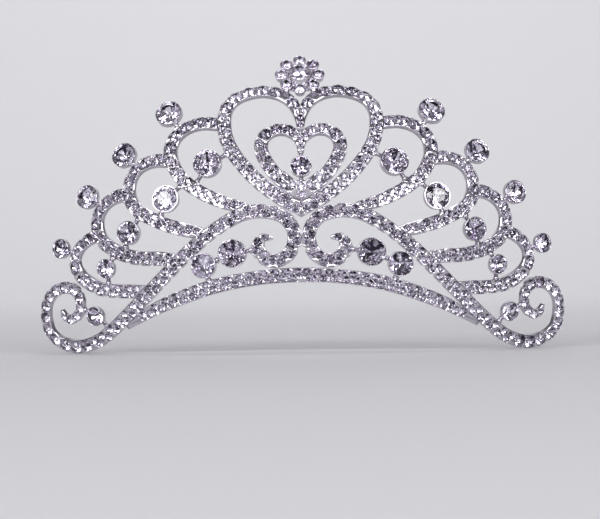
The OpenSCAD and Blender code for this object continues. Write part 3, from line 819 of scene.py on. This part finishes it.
def add_camera():
    """The camera in front of the band, turned slightly about its view."""
    settings = bpy.context.scene.tiara_stage
    data = bpy.data.cameras.new("camera")
    data.sensor_width = 36.0
    data.lens = settings.lens
    camera = bpy.data.objects.new("camera", data)
    bpy.context.scene.collection.objects.link(camera)
    camera.location = (-CAMERA_LEFT, -settings.distance, CAMERA_HEIGHT)
    camera.rotation_euler = (
        Matrix.Rotation(settings.roll, 3, "Y") @ Matrix.Rotation(math.pi / 2, 3, "X")
    ).to_euler()
    bpy.context.scene.camera = camera
    bpy.context.scene.view_settings.view_transform = "Standard"


# --- Operators -----------------------------------------------------------------------------------


class TIARA_OT_strips(bpy.types.Operator):
    """Polishes the band, the scrolls, the hearts, the loops and the pin loops"""

    bl_idname = "tiara.strips"
    bl_label = "Strips"

    def execute(self, context):
        for node in STRIPS + PIN_LOOPS:
            polished(node, strip_silver())
        return {"FINISHED"}


class TIARA_OT_small_stones(bpy.types.Operator):
    """Sets the small stones into the strips"""

    bl_idname = "tiara.small_stones"
    bl_label = "Small stones"

    def execute(self, context):
        for node in SMALL_STONES:
            stones_piece("cut_" + node, [node], False, context.scene.tiara_stones.wobble)
        return {"FINISHED"}


class TIARA_OT_grains(bpy.types.Operator):
    """Raises the grains that hold the small stones, and the prongs at the band's ends"""

    bl_idname = "tiara.grains"
    bl_label = "Grains"

    def execute(self, context):
        for node in STRIPS:
            side = node.split("_")[0]
            grains_piece(node, [n for n in SMALL_STONES if n.startswith(side)])
        band_points()
        return {"FINISHED"}


class TIARA_OT_cups(bpy.types.Operator):
    """Polishes the cups and their stems, rolls their rims and solders the stems to the strips"""

    bl_idname = "tiara.cups"
    bl_label = "Cups"

    def execute(self, context):
        for node in CUPS:
            polished(node, cup_silver())
        rims_piece("cup_rims", CUP_STONES)
        solder_piece("stem_solder", CUPS)
        return {"FINISHED"}


class TIARA_OT_cup_stones(bpy.types.Operator):
    """Sets the round stones into their cups"""

    bl_idname = "tiara.cup_stones"
    bl_label = "Cup stones"

    def execute(self, context):
        for node in CUP_STONES:
            stones_piece("cut_" + node, [node], True, 0.0)
        return {"FINISHED"}


class TIARA_OT_flower(bpy.types.Operator):
    """Polishes the flower, sets its nine stones and adds its rims and beads"""

    bl_idname = "tiara.flower"
    bl_label = "Flower"

    def execute(self, context):
        polished("flower_frame", cup_silver())
        rims_piece("flower_rims", FLOWER_STONES)
        flower_beads()
        for node in FLOWER_STONES:
            stones_piece("cut_" + node, [node], True, 0.0)
        return {"FINISHED"}


class TIARA_OT_stage(bpy.types.Operator):
    """Lays the floor and the backdrop, and places the lamps and the camera"""

    bl_idname = "tiara.stage"
    bl_label = "Stage"

    def execute(self, context):
        add_stage()
        add_lamps()
        add_camera()
        return {"FINISHED"}


class TIARA_PT_panel(bpy.types.Panel):
    """Lists the tiara's operators"""

    bl_label = "Tiara"
    bl_idname = "TIARA_PT_panel"
    bl_space_type = "VIEW_3D"
    bl_region_type = "UI"
    bl_category = "Tiara"

    def draw(self, context):
        for operator in OPERATORS:
            self.layout.operator(operator.bl_idname)


OPERATORS = (
    TIARA_OT_strips, TIARA_OT_small_stones, TIARA_OT_grains, TIARA_OT_cups, TIARA_OT_cup_stones,
    TIARA_OT_flower, TIARA_OT_stage,
)
CLASSES = (StoneSettings, MetalSettings, StageSettings) + OPERATORS + (TIARA_PT_panel,)


def register():
    """Registers the settings, the operators and the panel."""
    for item in CLASSES:
        bpy.utils.register_class(item)
    bpy.types.Scene.tiara_stones = PointerProperty(type=StoneSettings)
    bpy.types.Scene.tiara_metal = PointerProperty(type=MetalSettings)
    bpy.types.Scene.tiara_stage = PointerProperty(type=StageSettings)


def unregister():
    """Takes back what register did."""
    del bpy.types.Scene.tiara_stage
    del bpy.types.Scene.tiara_metal
    del bpy.types.Scene.tiara_stones
    for item in reversed(CLASSES):
        bpy.utils.unregister_class(item)


def main():
    """Builds the tiara and its stage."""
    register()
    bpy.ops.tiara.strips()
    bpy.ops.tiara.small_stones()
    bpy.ops.tiara.grains()
    bpy.ops.tiara.cups()
    bpy.ops.tiara.cup_stones()
    bpy.ops.tiara.flower()
    bpy.ops.tiara.stage()


if __name__ == "__main__":
    main()
